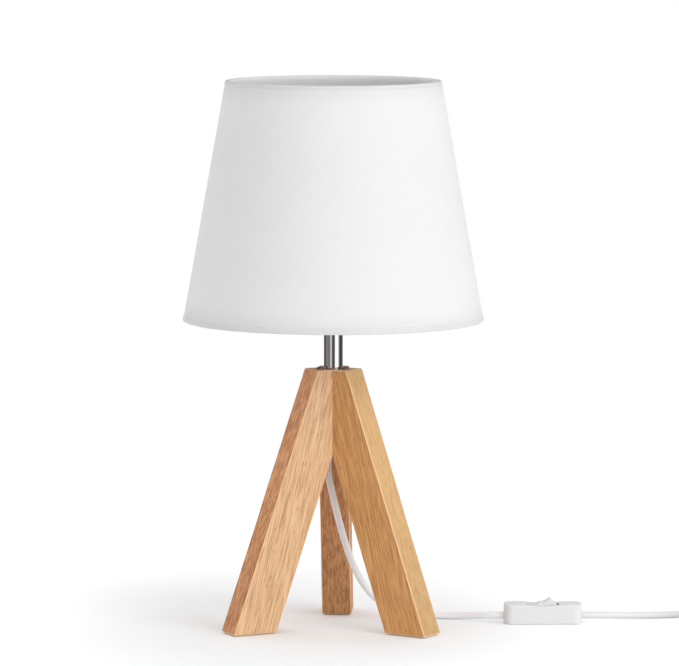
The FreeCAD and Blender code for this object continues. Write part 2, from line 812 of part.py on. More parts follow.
def switch_block():
    """The closed outer form: a rounded bar with bulged ends and a scooped top."""
    side = switch_side_length / 2
    half = switch_width / 2
    tip = switch_length / 2
    block = slab([(-side, -half), (side, -half), ((tip, 0.0), (side, half)), (-side, half),
                  ((-tip, 0.0), (-side, -half))], 0, switch_height)
    uprights = straight_edges(block, lambda way, middle: abs(way.z) > switch_height / 2)
    block = block.makeFillet(switch_corner, uprights)
    flat = 0.1
    top_rim = [edge for edge in block.Edges if edge.BoundBox.ZMin > switch_height - flat]
    block = block.makeFillet(switch_top_round, top_rim)
    foot_rim = [edge for edge in block.Edges if edge.BoundBox.ZMax < flat]
    block = block.makeFillet(switch_foot_round, foot_rim)
    scoop_axis = V(0, -switch_width, switch_height - scoop_depth + scoop_radius)
    return block.cut(Part.makeCylinder(scoop_radius, 2 * switch_width, scoop_axis, V(0, 1, 0)))


wing = 2 * switch_length
cavity_corner = 2.0
cheek_width = 2.2
cheek_half_length = 4.0
roof_bite = 0.5
screw_hole = 1.25
screw_head_hole = 2.2
screw_head_depth = 2.0
channel_radius = cord_radius + running_gap
cord_channel = Part.makeCylinder(channel_radius, wing, V(-wing / 2, 0, switch_split), V(1, 0, 0))


def switch_cavity(low, high):
    room = box(-cavity_half_length, cavity_half_length, -cavity_half_width, cavity_half_width, low, high)
    corners = straight_edges(room, lambda way, middle: abs(way.z) > (high - low) / 2)
    return room.makeFillet(cavity_corner, corners)


def make_top_cover():
    """Upper half: hollow, with the rocker's opening and the two bearing cheeks of its pins."""
    upper = switch_block().common(box(-wing, wing, -wing, wing, switch_split, wing))
    upper = upper.cut(switch_cavity(switch_split, switch_cavity_top))
    roof = switch_cavity_top + roof_bite
    for side in (-1, 1):
        cheek = box(-cheek_half_length, cheek_half_length, -cheek_width / 2, cheek_width / 2,
                    switch_split, roof)
        upper = upper.fuse(placed(cheek, V(0, side * (opening_half_width + cheek_width / 2), 0)))
    for spot_x, spot_y in screw_spots:
        foot = V(spot_x, spot_y, switch_split)
        upper = upper.fuse(Part.makeCylinder(post_radius, roof - switch_split, foot))
        upper = upper.cut(Part.makeCylinder(screw_hole, 4.0, foot))
    upper = upper.cut(box(-opening_half_length, opening_half_length,
                          -opening_half_width, opening_half_width, 0, wing))
    bearing_end = opening_half_width + cheek_width - 0.2
    upper = upper.cut(Part.makeCylinder(pin_radius + running_gap, 2 * bearing_end,
                                        V(0, -bearing_end, rocker_pivot), V(0, 1, 0)))
    return upper.cut(cord_channel).removeSplitter()


def make_bottom_cover():
    """Lower half: a tray with two screw posts."""
    lower = switch_block().common(box(-wing, wing, -wing, wing, 0, switch_split))
    lower = lower.cut(switch_cavity(floor_height, switch_split))
    for spot_x, spot_y in screw_spots:
        spot = V(spot_x, spot_y, 0)
        post_foot = V(spot_x, spot_y, floor_height)
        lower = lower.fuse(Part.makeCylinder(post_radius, switch_split - floor_height, post_foot))
        lower = lower.cut(Part.makeCylinder(screw_hole, switch_split, spot))
        lower = lower.cut(Part.makeCylinder(screw_head_hole, screw_head_depth, spot))
    return lower.cut(cord_channel).removeSplitter()


def make_rocker():
    """Two-way rocker: two finger dips, flared ends, a rounded keel and a pin on each side."""
    tip = (rocker_half_length, rocker_tip)
    flare = (rocker_half_length + rocker_flare, 2.6)
    heel = (rocker_half_length - 2.6, 0.2)
    belly = (3.4, -0.6)
    key = side_slab([
        (-tip[0], tip[1]), ((-rocker_dip_place, rocker_dip), (0.0, rocker_ridge)),
        ((rocker_dip_place, rocker_dip), tip), flare, heel, belly,
        ((0.0, -rocker_keel), (-belly[0], belly[1])), (-heel[0], heel[1]), (-flare[0], flare[1])],
        rocker_half_width)
    edge_round = 0.6
    top_edges = [edge for edge in key.Edges if edge.BoundBox.ZMin > rocker_dip - edge_round
                 and edge.CenterOfMass.Length > rocker_ridge + edge_round]
    key = key.makeFillet(edge_round, top_edges)
    pin_end = opening_half_width + cheek_width - 0.6
    pins = Part.makeCylinder(pin_radius, 2 * pin_end, V(0, -pin_end, 0), V(0, 1, 0))
    return key.fuse(pins).removeSplitter()


def tilted(shape):
    """Own frame of the rocker, pivot at the origin, to the rest position: right end up."""
    copy = shape.copy()
    copy.rotate(ORIGIN, V(0, 1, 0), -rocker_tilt)
    copy.translate(V(0, 0, rocker_pivot))
    return switch_part(copy)


bridge_half_length = 5.0
bridge_half_width = 2.0
bridge_thickness = 0.6
save("switch_top_cover", switch_part(make_top_cover()))
save("switch_bottom_cover", switch_part(make_bottom_cover()))
save("switch_rocker", tilted(make_rocker()))
bridge = box(-bridge_half_length, bridge_half_length, -bridge_half_width, bridge_half_width,
             -rocker_keel - bridge_thickness, -rocker_keel)
save("switch_bridge", tilted(bridge))

# two fixed contacts on the tray's floor, each a strip with a raised tip and a screwed post
strip_in = 4.2
strip_out = 17.0
strip_sheet = 0.8
strip_tip = 1.1
contact_post = 2.2
contact_head_radius = 1.9
contact_head_height = 1.3
post_top = floor_height + 3.0
contacts = []
contact_screws = []
for side in (-1, 1):
    strip = side_slab([(side * strip_in, floor_height), (side * strip_out, floor_height),
                       (side * strip_out, floor_height + strip_sheet),
                       (side * (strip_in + 1.8), floor_height + strip_sheet),
                       (side * (strip_in + 1.0), floor_height + strip_tip),
                       (side * strip_in, floor_height + strip_tip)], contact_post)
    post = box(-contact_post, contact_post, -contact_post, contact_post,
               floor_height + strip_sheet, post_top)
    contacts.append(switch_part(strip.fuse(placed(post, V(side * terminal_x, 0, 0))).removeSplitter()))
    head = Part.makeCylinder(contact_head_radius, contact_head_height, V(side * terminal_x, 0, post_top))
    contact_screws.append(switch_part(head))
save("switch_contacts", *contacts)
save("contact_screws", *contact_screws)

clamp_half_length = 1.8
clamp_half_width = 3.6
saddle = box(-clamp_half_length, clamp_half_length, -clamp_half_width, clamp_half_width,
             switch_split, switch_cavity_top)
save("cord_clamps", *[switch_part(placed(saddle, V(side * clamp_x, 0, 0)).cut(cord_channel))
                      for side in (-1, 1)])

cover_screw_head = 2.1
cover_screw_shank = 1.15
cover_screw_low = 0.4
cover_screw_end = 9.2
cover_screw_point = 0.8
housing_screw = turned([
    (0.0, cover_screw_low), (cover_screw_head, cover_screw_low), (cover_screw_head, screw_head_depth),
    (cover_screw_shank, screw_head_depth), (cover_screw_shank, cover_screw_end - cover_screw_point),
    (0.0, cover_screw_end)])
save("housing_screws", *[switch_part(placed(housing_screw, V(x, y, 0))) for x, y in screw_spots])

# ---- plug -----------------------------------------------------------------------------------------
plug_end = tail_route[-1]


def plug_part(shape):
    """Own frame: pins along +X, cord's end at the origin, axis at mid thickness."""
    return placed(shape, plug_end, -90.0)


def turned_along(steps):
    """A solid of revolution about the plug's X axis from a profile of (place, radius) steps."""
    face = Part.Face(outline(steps, lambda x, r: V(x, 0, r)))
    return face.revolve(ORIGIN, V(1, 0, 0), 360).Solids[0]


def along(radius, start, length, y=0.0):
    """A rod of the plug, along its X axis."""
    return Part.makeCylinder(radius, length, V(start, y, 0), V(1, 0, 0))


def make_plug_body():
    """Flat moulded body that narrows to a ribbed strain relief."""
    half = plug_half_width
    thick = plug_thickness / 2
    waist = relief_length + 3.0
    tail = waist - 6.0
    shoulder = waist + 10.0
    hollow = (waist + 6.0, half / 2)
    plan = slab([(tail, -plug_waist_width + 1.0), (tail + 6.0, -plug_waist_width),
                 ((hollow[0], -hollow[1]), (shoulder, -half + 1.2)), (plug_face, -half), (plug_face, half),
                 (shoulder, half - 1.2), (hollow, (waist, plug_waist_width)),
                 (tail, plug_waist_width - 1.0)], -thick, thick)
    side = side_slab([(tail, -relief_large_radius), (waist, -plug_waist_thickness), (shoulder - 1.0, -thick),
                      (plug_face, -thick), (plug_face, thick), (shoulder - 1.0, thick),
                      (waist, plug_waist_thickness), (tail, relief_large_radius)], 2 * half)
    body = plan.common(side)
    rims = straight_edges(body, lambda way, middle: abs(way.x) > plug_length / 2
                          and abs(middle.y) > half - plug_round)
    body = body.makeFillet(plug_round, rims)
    relief = turned_along([(0.0, 0.0), (0.0, relief_small_radius), (relief_length, relief_large_radius),
                           (relief_length, 0.0)])
    taper = (relief_large_radius - relief_small_radius) / relief_length
    for step in range(relief_grooves):
        groove_x = 3.0 + groove_pitch * step
        floor = relief_small_radius - 0.35 + taper * groove_x
        groove = along(2 * relief_large_radius, groove_x, groove_width)
        relief = relief.cut(groove.cut(along(floor, groove_x, groove_width)))
    return body.fuse(relief).removeSplitter()


plug_face = relief_length + plug_length
pin_root = plug_face - pin_socket
sleeve_end = plug_face + sleeve_length
pin_end = plug_face + plug_pin_length
pin_flat = 0.7
plug_body = make_plug_body()
plug_pins = []
plug_sleeves = []
for side in (-1, 1):
    y = side * plug_pin_spacing / 2
    plug_body = plug_body.cut(along(sleeve_radius, pin_root, pin_socket, y))
    pin = turned_along([
        (pin_root, 0.0), (pin_root, pin_core_radius), (sleeve_end, pin_core_radius),
        (sleeve_end, plug_pin_radius), (pin_end - 1.6, plug_pin_radius),
        ((pin_end - 0.4, 1.5), (pin_end, pin_flat)), (pin_end, 0.0)])
    plug_pins.append(plug_part(placed(pin, V(0, y, 0))))
    sleeve = along(sleeve_radius, pin_root, pin_socket + sleeve_length, y)
    sleeve = sleeve.cut(along(pin_core_radius, pin_root, pin_socket + sleeve_length, y))
    plug_sleeves.append(plug_part(sleeve))
save("plug_body", plug_part(plug_body))
save("plug_pins", *plug_pins)
save("plug_sleeves", *plug_sleeves)
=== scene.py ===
import math
from collections import namedtuple

import bmesh
import bpy
from mathutils import Matrix, Vector


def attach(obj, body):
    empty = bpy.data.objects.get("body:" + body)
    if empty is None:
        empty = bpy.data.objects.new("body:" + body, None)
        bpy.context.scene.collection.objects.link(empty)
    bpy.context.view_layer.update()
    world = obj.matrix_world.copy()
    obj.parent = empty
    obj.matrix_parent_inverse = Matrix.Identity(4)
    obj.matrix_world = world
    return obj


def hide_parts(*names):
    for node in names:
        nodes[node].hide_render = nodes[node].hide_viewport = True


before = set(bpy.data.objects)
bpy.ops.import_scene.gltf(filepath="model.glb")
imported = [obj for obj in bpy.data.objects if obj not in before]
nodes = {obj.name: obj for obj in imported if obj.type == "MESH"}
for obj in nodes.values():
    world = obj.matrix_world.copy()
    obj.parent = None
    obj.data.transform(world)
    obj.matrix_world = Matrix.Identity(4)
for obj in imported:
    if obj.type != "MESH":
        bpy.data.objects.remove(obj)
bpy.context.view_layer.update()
MM = 0.001
UP = (0, 0, 1)


def mm(*values):
    """A point or a list of sizes in millimetres, as metres."""
    return tuple(value * MM for value in values)


def polar(radius, angle, z=0.0):
    """A point at a radius and an angle in degrees round the lamp's axis."""
    turn = math.radians(angle)
    return Vector((radius * math.cos(turn), radius * math.sin(turn), z))


# ---- camera -------------------------------------------------------------------------------------
photo_width = 679
focal_pixels = 4850.9
sensor_width = 36.0
near_clip, far_clip = 0.05, 200.0
camera_distance = 3.5121
camera_height = 0.5762
# in degrees: the camera's place round the lamp, then the way it looks
camera_azimuth = 2.8865
look_azimuth = 2.8134
look_down = 5.8533
look_roll = 0.0501


def around(azimuth, distance, height):
    """A place round the lamp; azimuth is degrees to the right of the camera's own."""
    turn = math.radians(camera_azimuth + azimuth)
    return Vector((distance * math.sin(turn), -distance * math.cos(turn), height))


def make_camera():
    yaw, pitch, roll = (math.radians(value) for value in (look_azimuth, look_down, look_roll))
    level_part = math.cos(pitch)
    forward = Vector((-math.sin(yaw) * level_part, math.cos(yaw) * level_part, -math.sin(pitch)))
    level = forward.cross(Vector(UP)).normalized()
    right = level * math.cos(roll) + level.cross(forward) * math.sin(roll)
    up = right.cross(forward)
    data = bpy.data.cameras.new("camera")
    data.sensor_fit = "HORIZONTAL"
    data.sensor_width = sensor_width
    data.lens = focal_pixels * sensor_width / photo_width
    data.clip_start, data.clip_end = near_clip, far_clip
    camera = bpy.data.objects.new("camera", data)
    bpy.context.scene.collection.objects.link(camera)
    turn = Matrix((right, up, -forward)).transposed().to_4x4()
    camera.matrix_world = Matrix.Translation(around(0, camera_distance, camera_height)) @ turn
    bpy.context.scene.camera = camera


make_camera()

# ---- cord ---------------------------------------------------------------------------------------
cord_diameter = 5.2
cord_round_steps = 5
cord_run_steps = 10
exit_z = 147.5
# the switch lies on the floor: its middle, the height where its halves meet, its turn, its cord clamps
switch_x, switch_y, switch_split = 153.2, 26.6, 5.7
switch_turn = math.radians(3.0)
cord_clamp = 21.0


def on_switch(x, y, z):
    """A point given in the switch's own frame, x along the cord."""
    return (switch_x + x * math.cos(switch_turn) - y * math.sin(switch_turn),
            switch_y + x * math.sin(switch_turn) + y * math.cos(switch_turn), z)


upper_route = [(0, 0, exit_z), (0, 0, 141), (-2.8, 0.6, 128.2), (-4.3, 2.4, 117), (-2.9, 5.4, 106),
               (0.9, 10.2, 88), (5, 15.6, 70), (10, 21.6, 51.5), (17, 28.2, 33), (28, 34.5, 16.4),
               (45, 39.5, 5.5), (66, 41.5, 2.6), (88, 38, 2.8), (103, 31.5, 4.2), (114.5, 26.2, 5.4),
               on_switch(-31, 0, switch_split), on_switch(-cord_clamp, 0, switch_split)]

# the put-away coil: a spiral in on the floor, a climb in the half turn where it reverses, and a
# spiral out on top of the first
coil_x, coil_y = 304.0, 15.1
coil_low, coil_pitch, coil_small_radius = 3.4, 5.7, 20.5
coil_turns_in, coil_turns_out = 3.75, 3.5
coil_start_angle = 90.0
coil_climb_turns = 0.5
# the straight run of the cord before its first turn and after its last
coil_straight = 6.0
coil_points_per_turn = 16
coil_large_radius = coil_small_radius + coil_pitch * coil_turns_in
coil_exit_radius = coil_small_radius + coil_pitch * coil_turns_out
coil_exit_x = coil_x + coil_exit_radius
coil_top = coil_low + coil_pitch
plug_x = coil_exit_x + 0.6
plug_z = 6.85


def coil_route():
    """Control points of the turns; each stands out a little, because the spline cuts inside them."""
    total = coil_turns_in + coil_turns_out
    count = round(total * coil_points_per_turn)
    swell = 1 / math.cos(math.pi / coil_points_per_turn)
    points = []
    for step in range(count + 1):
        turns = total * step / count
        past = turns - coil_turns_in
        radius = coil_small_radius + coil_pitch * abs(past)
        if 0 < step < count:
            radius *= swell
        climbed = max(0.0, min(1.0, 0.5 + past / coil_climb_turns))
        rise = coil_pitch * (1 - math.cos(math.pi * climbed)) / 2
        spot = polar(radius, coil_start_angle - 360 * turns)
        points.append((coil_x + spot.x, coil_y + spot.y, coil_low + rise))
    return points


lower_route = [on_switch(cord_clamp, 0, switch_split), on_switch(37, 0, switch_split),
               (205, 36, 4.6), (220, 44, 3.3), (237.5, 50.5, 2.6), (257, 54.5, 2.6),
               (277.5, coil_y + coil_large_radius, coil_low),
               (coil_x - coil_straight, coil_y + coil_large_radius, coil_low)]
tail_route = [(coil_exit_x, coil_y - coil_straight, coil_top),
              (coil_exit_x, coil_y - coil_straight - 7, coil_top),
              (plug_x, coil_y - coil_straight - 18, plug_z),
              (plug_x, coil_y - coil_straight - 26, plug_z)]


def make_cord(name, route):
    """A round cord along one smooth spline; its control points are the route and hold its radius."""
    data = bpy.data.curves.new(name, "CURVE")
    data.dimensions = "3D"
    data.bevel_depth = 1.0
    data.bevel_resolution = cord_round_steps
    data.resolution_u = cord_run_steps
    data.use_fill_caps = True
    spline = data.splines.new("NURBS")
    spline.points.add(len(route) - 1)
    for point, place in zip(spline.points, route):
        point.co = (*mm(*place), 1)
        point.radius = cord_diameter / 2 * MM
    spline.order_u = 3
    spline.use_endpoint_u = True
    piece = bpy.data.objects.new(name, data)
    bpy.context.scene.collection.objects.link(piece)
    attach(piece, "base")
    return piece


lamp_cord = make_cord("lamp_cord", upper_route)
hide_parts("cord_upper")
mains_cord = make_cord("mains_cord", lower_route + coil_route() + tail_route)
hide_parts("cord_lower", "cord_coil", "cord_tail")


# ---- material helpers ---------------------------------------------------------------------------
# the range that holds nearly all values of a noise
noise_range = (0.3, 0.7)
# where a Mix node has its colours; their names are those of its numbers, which come first
mix_colour_inputs, mix_colour_output = (6, 7), 2


class Tree:
    """The shader nodes of a material or of the world."""

    def __init__(self, owner):
        owner.use_nodes = True
        self.tree = owner.node_tree

    def node(self, kind, **settings):
        made = self.tree.nodes.new("ShaderNode" + kind)
        for key, value in settings.items():
            setattr(made, key, value)
        return made

    def join(self, source, target):
        self.tree.links.new(source, target)

    def put(self, socket, value):
        """Links a node's output, or sets a constant."""
        if isinstance(value, bpy.types.NodeSocket):
            self.join(value, socket)
        else:
            socket.default_value = value

    def math(self, operation, first, second=0.0):
        made = self.node("Math", operation=operation)
        self.put(made.inputs[0], first)
        self.put(made.inputs[1], second)
        return made.outputs[0]

    def span(self, value, low, high, to_low=0.0, to_high=1.0):
        """Maps low..high to to_low..to_high, smoothly and clamped."""
        made = self.node("MapRange", interpolation_type="SMOOTHSTEP")
        self.put(made.inputs["Value"], value)
        for key, number in (("From Min", low), ("From Max", high),
                            ("To Min", to_low), ("To Max", to_high)):
            made.inputs[key].default_value = number
        return made.outputs["Result"]

    def choose(self, share, first, second):
        """From the first number at a share of 0 to the second at 1."""
        made = self.node("Mix")
        for key, value in (("Factor", share), ("A", first), ("B", second)):
            self.put(made.inputs[key], value)
        return made.outputs["Result"]


class Shader(Tree):
    """A material's nodes, round its Principled surface."""

    def __init__(self, name):
        self.material = bpy.data.materials.new(name)
        super().__init__(self.material)
        self.surface = self.tree.nodes["Principled BSDF"]
        self.output = self.tree.nodes["Material Output"]

    def look(self, colour, **sockets):
        """Fills the surface's sockets, each named with _ for a space."""
        self.put(self.surface.inputs["Base Color"], colour)
        for key, value in sockets.items():
            self.put(self.surface.inputs[key.replace("_", " ")], value)

    def place(self, scale=(1, 1, 1), turn=(0, 0, 0)):
        """The piece's own coordinates, turned and then scaled."""
        here = self.node("TexCoord").outputs["Object"]
        turned = self.node("Mapping", vector_type="POINT")
        turned.inputs["Rotation"].default_value = turn
        self.join(here, turned.inputs["Vector"])
        scaled = self.node("VectorMath", operation="MULTIPLY")
        self.join(turned.outputs["Vector"], scaled.inputs[0])
        scaled.inputs[1].default_value = scale
        return scaled.outputs[0]

    def noise(self, at, scale, detail=2.0, roughness=0.5, distortion=0.0):
        """Fractal noise, about 0 to 1; the scale is in features per metre where place isn't scaled."""
        made = self.node("TexNoise")
        self.join(at, made.inputs["Vector"])
        for key, value in (("Scale", scale), ("Detail", detail), ("Roughness", roughness),
                           ("Distortion", distortion)):
            made.inputs[key].default_value = value
        return made.outputs["Fac"]

    def mix(self, share, first, second):
        """From the first colour at a share of 0 to the second at 1."""
        made = self.node("Mix", data_type="RGBA")
        self.put(made.inputs["Factor"], share)
        for key, value in zip(mix_colour_inputs, (first, second)):
            self.put(made.inputs[key], (*value, 1.0) if isinstance(value, tuple) else value)
        return made.outputs[mix_colour_output]

    def darker(self, share, colour, ratio):
        """The colour, mixed by a share with itself times a ratio."""
        deep = self.node("VectorMath", operation="MULTIPLY")
        self.put(deep.inputs[0], colour)
        deep.inputs[1].default_value = ratio
        return self.mix(share, colour, deep.outputs[0])

    def facing(self, direction):
        """How far the surface is turned along or against a direction, 0 to 1."""
        dot = self.node("VectorMath", operation="DOT_PRODUCT")
        self.join(self.node("TexCoord").outputs["Normal"], dot.inputs[0])
        dot.inputs[1].default_value = direction
        return self.math("ABSOLUTE", dot.outputs["Value"])

    def let_through(self, colour, share):
        """A share of the light goes through to the other side, as in paper or thin cloth."""
        glow = self.node("BsdfTranslucent")
        glow.inputs["Color"].default_value = (*colour, 1.0)
        blend = self.node("MixShader")
        blend.inputs["Fac"].default_value = share
        self.join(self.surface.outputs[0], blend.inputs[1])
        self.join(glow.outputs[0], blend.inputs[2])
        self.join(blend.outputs[0], self.output.inputs["Surface"])

    def bump(self, height, depth, strength=1.0):
        """Normal from a height field; depth in metres."""
        made = self.node("Bump")
        self.join(height, made.inputs["Height"])
        made.inputs["Distance"].default_value = depth
        made.inputs["Strength"].default_value = strength
        self.join(made.outputs["Normal"], self.surface.inputs["Normal"])


def paint(material, *names):
    """Gives a material to CAD nodes or pieces."""
    for name in names:
        piece = nodes.get(name) or bpy.data.objects[name]
        piece.data.materials.clear()
        piece.data.materials.append(material)


# ---- wood ---------------------------------------------------------------------------------------
leg_lean = math.radians(19.7)
grain_runout = math.radians(6.0)
leg_angles = {"leg_back": 90.0, "leg_left": 210.0, "leg_right": 330.0}
# each bar's own tone: wide faces, outer face, and how strongly the outer face is figured. The tones are
# partly the wood's own, which differs from bar to bar, and partly painted light and shade: each face's
# tone stands in for how the light falls on it
bar_tones_and_painted_light = {
    "leg_left": ((0.800, 0.525, 0.305), (0.742, 0.330, 0.107), 1.4),
    "leg_right": ((0.715, 0.377, 0.142), (0.725, 0.450, 0.200), 0.45),
    "leg_back": ((0.640, 0.266, 0.107), (0.700, 0.370, 0.170), 1.0),
}
# painted highlight: the rounded edges of the bars are paler, as where they catch the light
painted_edge_highlight = (0.93, 0.62, 0.36)
edge_highlight_share = 0.90
# where a surface counts as one of the bar's flat faces, by how straight it faces along their normals
edge_facing, flat_facing = 0.90, 0.985
wide_face_from, wide_face_to = 0.3, 0.8
# painted shade: the outer faces darken towards the feet
painted_shade_height = 0.130
painted_shade_at_feet = (0.86, 0.86, 0.86)
wood_roughness = (0.42, 0.55)
wood_specular = 0.35
wood_relief = 0.00006
fibre_relief_share = 0.6

# the wood's figure from broad to fine. scale: along the grain, across the outer face, across the wide
# faces. detail, roughness, distortion: of its noise. start, full: the noise values between which it
# comes in. share, ratio: how much of it shows, and the tone of it.
Figure = namedtuple("Figure", "scale detail roughness distortion start full share ratio")
wood_figures = {
    "streaks": Figure((7, 90, 90), 3.0, 0.55, 0.6, 0.42, 0.70, 0.32, (0.88, 0.79, 0.70)),
    "lines": Figure((16, 240, 420), 2.0, 0.6, 0.3, 0.44, 0.68, 0.30, (0.86, 0.77, 0.68)),
    "fibre": Figure((34, 560, 1000), 2.0, 0.7, 0.0, 0.40, 0.62, 0.90, (0.68, 0.58, 0.49)),
    "vessels": Figure((120, 650, 950), 1.0, 0.5, 0.0, 0.66, 0.73, 0.85, (0.66, 0.50, 0.38)),
}


def wood(name, angle):
    """Lacquered rubberwood: growth streaks, fine fibre, short dark vessels, and a painted highlight
    along the edges.
    """
    # the faces' tones carry painted light and shade as well as the wood's colour
    wide_tone, outer_tone, outer_strength = bar_tones_and_painted_light[name]
    shader = Shader("wood_" + name)
    out = polar(1, angle)
    across = Vector((-out.y, out.x, 0))
    lean = leg_lean - grain_runout
    along = out * math.sin(lean) - Vector((0, 0, math.cos(lean)))
    turn = Matrix((along, across, along.cross(across))).to_euler("XYZ")
    # a place of its own in the noise for each bar
    start = angle / 7.0

    def grain(scale):
        """The place in the bar along and across its grain, scaled."""
        shifted = shader.node("VectorMath", operation="ADD")
        shader.join(shader.place(scale, turn), shifted.inputs[0])
        shifted.inputs[1].default_value = (start, start, start)
        return shifted.outputs[0]

    noises = {}
    for key, figure in wood_figures.items():
        noises[key] = shader.noise(grain(figure.scale), 1.0, figure.detail, figure.roughness,
                                   figure.distortion)
    wide_facing = shader.facing(across)
    outer_facing = shader.facing(out * math.cos(leg_lean) + Vector((0, 0, math.sin(leg_lean))))
    wide = shader.span(wide_facing, wide_face_from, wide_face_to)
    place = shader.node("SeparateXYZ")
    shader.join(shader.node("TexCoord").outputs["Object"], place.inputs[0])
    # painted shade on the outer faces, from this height down to the feet
    foot = shader.span(place.outputs["Z"], painted_shade_height, 0.0)
    colour = shader.mix(wide, shader.darker(foot, outer_tone, painted_shade_at_feet), wide_tone)
    strength = shader.span(wide, 0.0, 1.0, outer_strength, 1.0)
    for key, figure in wood_figures.items():
        share = shader.span(noises[key], figure.start, figure.full, 0.0, figure.share)
        colour = shader.darker(shader.math("MULTIPLY", share, strength), colour, figure.ratio)
    flat = shader.math("MAXIMUM", shader.math("MAXIMUM", wide_facing, outer_facing), shader.facing(UP))
    # painted highlight on the rounded edges between the flat faces
    edge_highlight_mask = shader.span(flat, flat_facing, edge_facing, 0.0, edge_highlight_share)
    colour = shader.mix(edge_highlight_mask, colour, painted_edge_highlight)
    shader.look(colour, Roughness=shader.span(noises["fibre"], *noise_range, *wood_roughness),
                Specular_IOR_Level=wood_specular)
    vessels = wood_figures["vessels"]
    hollows = shader.span(noises["vessels"], vessels.start, vessels.full)
    ridges = shader.math("MULTIPLY", noises["fibre"], fibre_relief_share)
    shader.bump(shader.math("SUBTRACT", ridges, hollows), wood_relief)
    return shader.material


for leg_name, leg_angle in leg_angles.items():
    paint(wood(leg_name, leg_angle), leg_name)


# ---- metal --------------------------------------------------------------------------------------
metal_grain = 100.0
# a metal's roughness varies by these factors over this range of the noise
metal_range = (0.25, 0.75)
metal_polish = (0.85, 1.2)


def metal(name, colour, roughness, streaks, tone=0.06, depth=0.000004):
    """Metal with fine streaks; their scale is small along them and large across."""
    shader = Shader(name)
    fine = shader.noise(shader.place(streaks), metal_grain, detail=3.0, roughness=0.6)
    scaled = shader.node("VectorMath", operation="SCALE")
    scaled.inputs[0].default_value = colour
    shader.join(shader.span(fine, *noise_range, 1 - tone, 1.0), scaled.inputs["Scale"])
    dull = (roughness * factor for factor in metal_polish)
    shader.look(scaled.outputs[0], Metallic=1.0, Roughness=shader.span(fine, *metal_range, *dull))
    shader.bump(fine, depth)
    return shader.material


even, upright, round_the_axis = (6, 6, 6), (6, 6, 0.4), (3, 3, 12)
nickel = metal("brushed_nickel", (0.84, 0.80, 0.78), 0.07, upright, tone=0.04, depth=0.0000003)
zinc = metal("zinc_steel", (0.60, 0.60, 0.58), 0.35, even)
dark_steel = metal("dark_steel", (0.25, 0.17, 0.15), 0.42, even)
brass = metal("brass", (0.80, 0.56, 0.26), 0.28, even)
aluminium = metal("bulb_cap_metal", (0.80, 0.80, 0.79), 0.30, round_the_axis)
paint(nickel, "stem_tube")
paint(zinc, "threaded_rod", "head_washer", "head_nut", "terminal_screws", "contact_screws",
      "housing_screws", "bulb_contact")
# the screw plate takes the dark steel as painted shade at the stem's foot; the screws are dark steel
paint(dark_steel, "screw_plate", "head_screws")
paint(brass, "holder_terminals", "screw_shell", "centre_contact", "switch_bridge", "switch_contacts",
      "plug_pins")


# ---- plastic, felt, fabric ----------------------------------------------------------------------
cloud_scale = 60.0
plastic_polish = (0.9, 1.1)


def plastic(name, colour, roughness, grain=1800.0, depth=0.000010, tone=0.03, through=0.0, **sockets):
    """Moulded plastic, or felt: a fine skin, a faint cloudiness, and a share of light let through."""
    shader = Shader(name)
    skin = shader.noise(shader.place(), grain, roughness=0.6)
    cloud = shader.noise(shader.place(), cloud_scale)
    dim = tuple(part * (1 - tone) for part in colour)
    dull = (roughness * factor for factor in plastic_polish)
    shader.look(shader.mix(cloud, colour, dim), Roughness=shader.span(skin, *noise_range, *dull),
                **sockets)
    shader.bump(skin, depth)
    if through:
        shader.let_through(colour, through)
    return shader.material


# painted light: the cord from the lamp to the switch is the same white cord as the mains side, in a
# lighter, bluer copy that stands in for light the legs keep from it
lamp_cord_painted_light = plastic("lamp_cord_painted_light", (0.93, 0.94, 0.97), 0.42, grain=900.0)
white_cord = plastic("white_cord", (0.77, 0.77, 0.775), 0.42, grain=900.0)
switch_plastic = plastic("switch_plastic", (0.785, 0.785, 0.785), 0.40, Specular_IOR_Level=0.2)
holder_plastic = plastic("holder_plastic", (0.80, 0.80, 0.79), 0.40)
bulb_plastic = plastic("bulb_plastic", (0.85, 0.85, 0.84), 0.25)
bulb_opal = plastic("bulb_opal", (0.90, 0.90, 0.885), 0.38, grain=2500.0, through=0.35)
black_insulator = plastic("black_insulator", (0.015, 0.015, 0.015), 0.20)
ceramic = plastic("ceramic", (0.80, 0.79, 0.75), 0.15, grain=300.0, Coat_Weight=0.5)
wire_coat = plastic("white_wire", (0.82, 0.82, 0.81), 0.38, grain=700.0, depth=0.00003)
felt = plastic("felt", (0.62, 0.56, 0.50), 0.95, grain=1500.0, depth=0.0002, tone=0.3)
lead_skin = plastic("lead_insulation", (0.20, 0.08, 0.03), 0.45)
paint(lamp_cord_painted_light, "lamp_cord", "cord_inner")
paint(white_cord, "mains_cord", "plug_body")
paint(switch_plastic, "switch_top_cover", "switch_bottom_cover", "switch_rocker", "cord_clamps")
paint(holder_plastic, "holder_cap", "ring_nut", "rod_bushing")
paint(bulb_plastic, "bulb_housing")
paint(bulb_opal, "bulb_globe")
paint(black_insulator, "bulb_insulator", "plug_sleeves")
paint(ceramic, "holder_insert")
paint(wire_coat, "shade_low_ring", "shade_top_ring", "shade_collar", "shade_arms")
paint(felt, "foot_pads")
paint(lead_skin, "inner_leads")


weave_pitch = 0.42
weave_radius = 95.0
weave_depth = 0.00003
weave_strength = 0.6
# thicker threads run round the cloth: the noise that places them, where it shows them, their tone
slub_scale = 90.0
slub_stretch = (1, 1, 14)
slub_range = (0.35, 0.7)
slub_tone = 0.965
upward_from, upward_to = 0.4, 0.9


